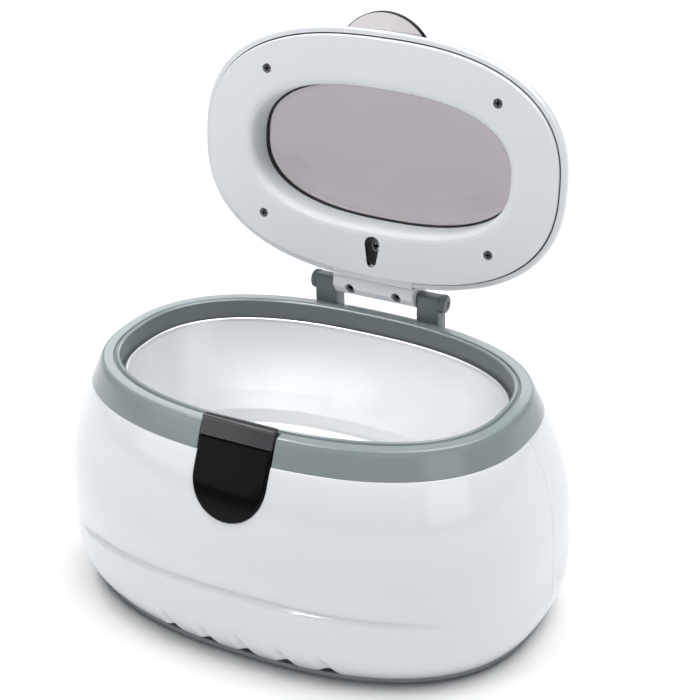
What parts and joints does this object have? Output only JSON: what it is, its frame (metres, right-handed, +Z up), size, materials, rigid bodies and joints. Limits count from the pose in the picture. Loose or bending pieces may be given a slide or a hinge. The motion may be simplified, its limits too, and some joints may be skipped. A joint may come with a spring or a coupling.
{
  "type": "ultrasonic cleaner",
  "caption": "Table-top ultrasonic cleaner with an oval body, steel tank, hinged windowed lid, front power button and its transducer and driver board inside.",
  "frame": {"origin": "on the table under the middle of the oval housing; the open lid reaches 3 mm further back than the housing, so the box's middle lies 1.6 mm behind the origin", "axes": "+X to the right side, -Y to the front with the power button, +Z up"},
  "size_m": [0.205, 0.1461, 0.2203],
  "materials": {
    "white_shell": "gloss moulded ABS",
    "liner_white": "satin moulded ABS",
    "base_grey": "fine grain",
    "rubber": "soft matte",
    "trim_grey": "satin",
    "tank_steel": "drawn and polished",
    "black_gloss": "gloss",
    "button_grey": "satin",
    "smoked": "clear smoked acrylic",
    "screw_dark": "dark nickel",
    "screw_bright": "zinc plated",
    "pin_grey": "satin",
    "silicone": "translucent white",
    "seal_black": "matte",
    "epoxy": "cured resin",
    "piezo_ceramic": "silvered ceramic",
    "lead_insulation": "smooth",
    "black_plastic": "moulded",
    "lamp_blue": "clear tinted",
    "board_green": "solder mask",
    "ferrite": "sintered",
    "winding": "enamelled wire under tape",
    "capacitor_sleeve": "shrink sleeve",
    "capacitor_film": "dipped",
    "heat_sink": "extruded",
    "fuse_glass": "clear"
  },
  "bodies": {
    "cleaner": {"housing_shell": "white_shell", "base_plate": "base_grey", "rubber_foot_front_left": "rubber", "rubber_foot_front_right": "rubber", "rubber_foot_rear_left": "rubber", "rubber_foot_rear_right": "rubber", "cord_gland": "rubber", "trim_ring": "trim_grey", "tank": "tank_steel", "front_panel": "black_gloss", "base_screws": "screw_bright", "trim_screws": "screw_bright", "board_screws": "screw_bright", "hinge_pin_left": "pin_grey", "hinge_pin_right": "pin_grey", "tank_gasket": "silicone", "piezo_bond": "epoxy", "piezo_disc": "piezo_ceramic", "piezo_leads": "lead_insulation", "panel_leads": "lead_insulation", "tact_switch": "black_plastic", "power_transistors": "black_plastic", "bridge_rectifier": "black_plastic", "control_chip": "black_plastic", "indicator_led": "lamp_blue", "main_board": "board_green", "button_board": "board_green", "terminal_block": "board_green", "transformer_core": "ferrite", "resonance_inductor": "ferrite", "transformer_coil": "winding", "mains_capacitor": "capacitor_sleeve", "film_capacitors": "capacitor_film", "heat_sink": "heat_sink", "mains_fuse": "fuse_glass"},
    "lid": {"lid_shell": "white_shell", "lid_liner": "liner_white", "lid_window": "smoked", "window_seal": "seal_black", "lift_tab": "smoked", "lid_screws": "screw_dark", "centre_screw": "screw_bright", "hinge_barrel": "white_shell", "barrel_screws": "screw_dark"},
    "button": {"power_button": "button_grey", "switch_plunger": "black_plastic"}
  },
  "joints": [
    {"name": "lid_hinge", "type": "hinge", "parent": "cleaner", "child": "lid", "pos_m": [0, 0.0567, 0.1053], "axis": [1, 0, 0], "range_deg": [0, 97]},
    {"name": "power_button_press", "type": "slide", "parent": "cleaner", "child": "button", "axis": [0, 0.9091, -0.4166], "range_m": [0, 0.0008], "stiffness_N_per_m": 900, "springref_m": -0.0006}
  ]
}
